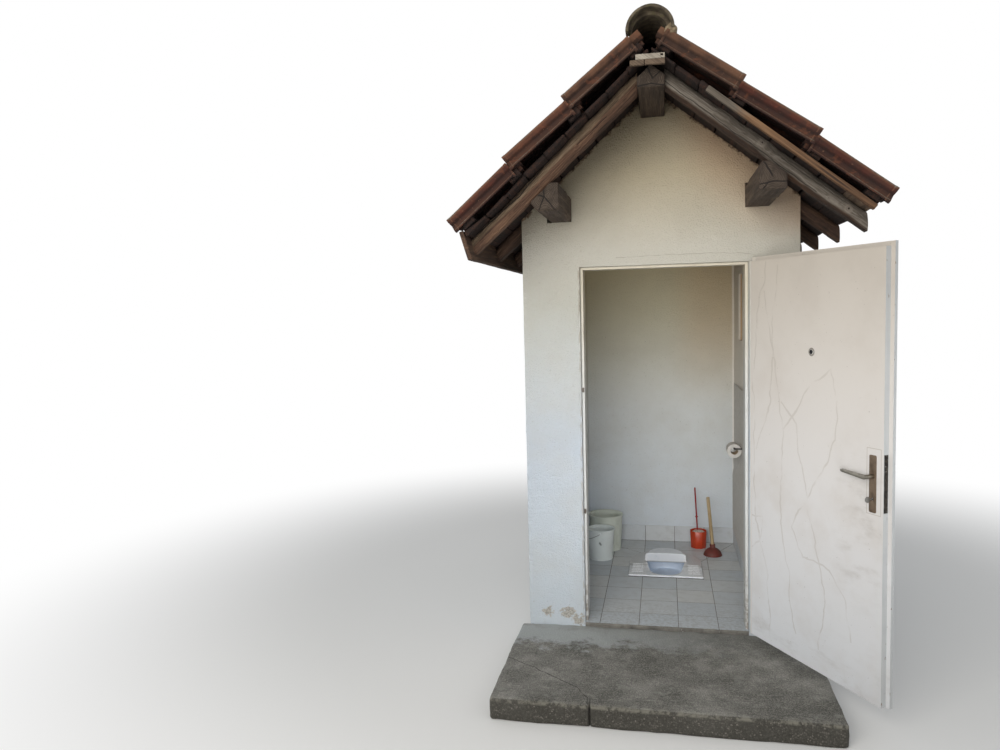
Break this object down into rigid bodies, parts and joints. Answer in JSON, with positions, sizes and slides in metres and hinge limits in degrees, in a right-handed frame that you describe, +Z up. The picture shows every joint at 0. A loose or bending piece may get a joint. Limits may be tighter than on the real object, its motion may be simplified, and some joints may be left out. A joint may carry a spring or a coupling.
{
  "type": "plastered masonry outhouse with a timber and clay tile roof and one door",
  "caption": "Small free-standing outhouse: plastered walls, tiled gable roof on hewn poles, concrete step, open door and a squat pan inside.",
  "frame": {"origin": "underside of the walls at ground level, in the middle of the masonry's plan", "axes": "+Z up, +Y from the door to the back wall, +X to the right as seen from the door"},
  "size_m": [1.8429, 3.1827, 2.9781],
  "materials": {
    "plaster": "painted rough stucco",
    "concrete": "worn and stained",
    "floor_tile": "satin glaze",
    "roof_tile": "weathered clay",
    "ridge_tile": "weathered and mossy clay",
    "old_timber": "weathered grey-brown",
    "board_timber": "rough sawn, aged",
    "lath_timber": "rough sawn",
    "frame_paint": "painted",
    "window_wood": "varnished",
    "door_paint": "painted, stained by rain",
    "steel": "worn",
    "handle_alloy": "worn",
    "bronze": "dull bronze",
    "porcelain": "gloss",
    "white_plastic": "satin",
    "red_plastic": "satin",
    "red_rubber": "dull",
    "handle_wood": "worn",
    "black_iron": "dull",
    "paper": "soft",
    "glass": "clear"
  },
  "bodies": {
    "root": {"front_step": "concrete", "floor_base": "concrete", "floor_tiles": "floor_tile", "front_wall_left": "plaster", "front_wall_right": "plaster", "front_gable": "plaster", "left_wall": "plaster", "right_wall": "plaster", "rear_wall": "plaster", "skirting": "floor_tile", "door_frame": "frame_paint", "window_frame": "window_wood", "window_pane": "glass", "ridge_purlin": "old_timber", "left_purlin": "old_timber", "right_purlin": "old_timber", "front_rafters": "old_timber", "inner_rafters": "old_timber", "left_boards": "board_timber", "right_boards": "board_timber", "battens": "board_timber", "left_upper_tiles": "roof_tile", "left_middle_tiles": "roof_tile", "left_lower_tiles": "roof_tile", "right_upper_tiles": "roof_tile", "right_middle_tiles": "roof_tile", "right_lower_tiles": "roof_tile", "ridge_tiles": "ridge_tile", "eave_board": "board_timber", "roof_laths": "lath_timber", "squat_pan": "porcelain", "roll_hook": "black_iron", "paper_roll": "paper", "small_pail": "white_plastic", "large_pail": "white_plastic", "toilet_brush": "red_plastic", "plunger_cup": "red_rubber", "plunger_handle": "handle_wood", "frame_hinges": "steel"},
    "door": {"leaf_hinges": "steel", "door_leaf": "door_paint", "door_lock": "steel", "handle_plates": "bronze", "spyhole": "bronze"},
    "handle": {"door_handle": "handle_alloy"}
  },
  "joints": [
    {"name": "door_hinge", "type": "hinge", "parent": "root", "child": "door", "pos_m": [0.4585, -0.882, 1.05], "axis": [0, 0, 1], "range_deg": [-121.6, 38]},
    {"name": "handle_turn", "type": "hinge", "parent": "door", "child": "handle", "pos_m": [0.8499, -1.5611, 1.058], "axis": [-0.8517, -0.524, 0], "range_deg": [0, 38], "stiffness_Nm_per_rad": 1.2, "springref_deg": -20.05}
  ]
}
